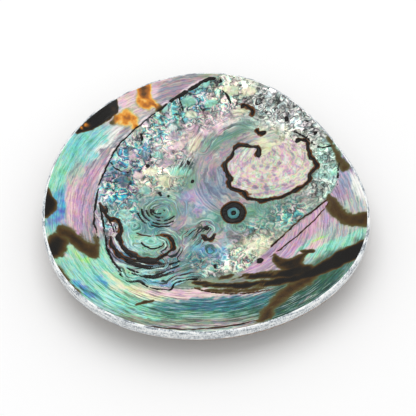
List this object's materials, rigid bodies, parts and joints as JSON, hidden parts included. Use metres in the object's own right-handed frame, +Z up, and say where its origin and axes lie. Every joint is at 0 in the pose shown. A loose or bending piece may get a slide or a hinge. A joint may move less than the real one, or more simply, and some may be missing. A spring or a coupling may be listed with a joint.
{
  "type": "abalone shell",
  "caption": "Trimmed, polished abalone shell: a shallow dish with an iridescent nacre hollow side, a raised muscle scar, a ground edge and a brown ribbed back.",
  "frame": {"origin": "under the middle of the outline's box, on the plane that the ground flat spot of the back rests on", "axes": "+Z up out of the hollow side; +X along the shell's longest side, towards its blunt corner; -Y towards the edge with the long growth bands"},
  "size_m": [0.1224, 0.1196, 0.017],
  "materials": {
    "nacre": null
  },
  "bodies": {
    "root": {"abalone_shell": "nacre"}
  },
  "joints": []
}
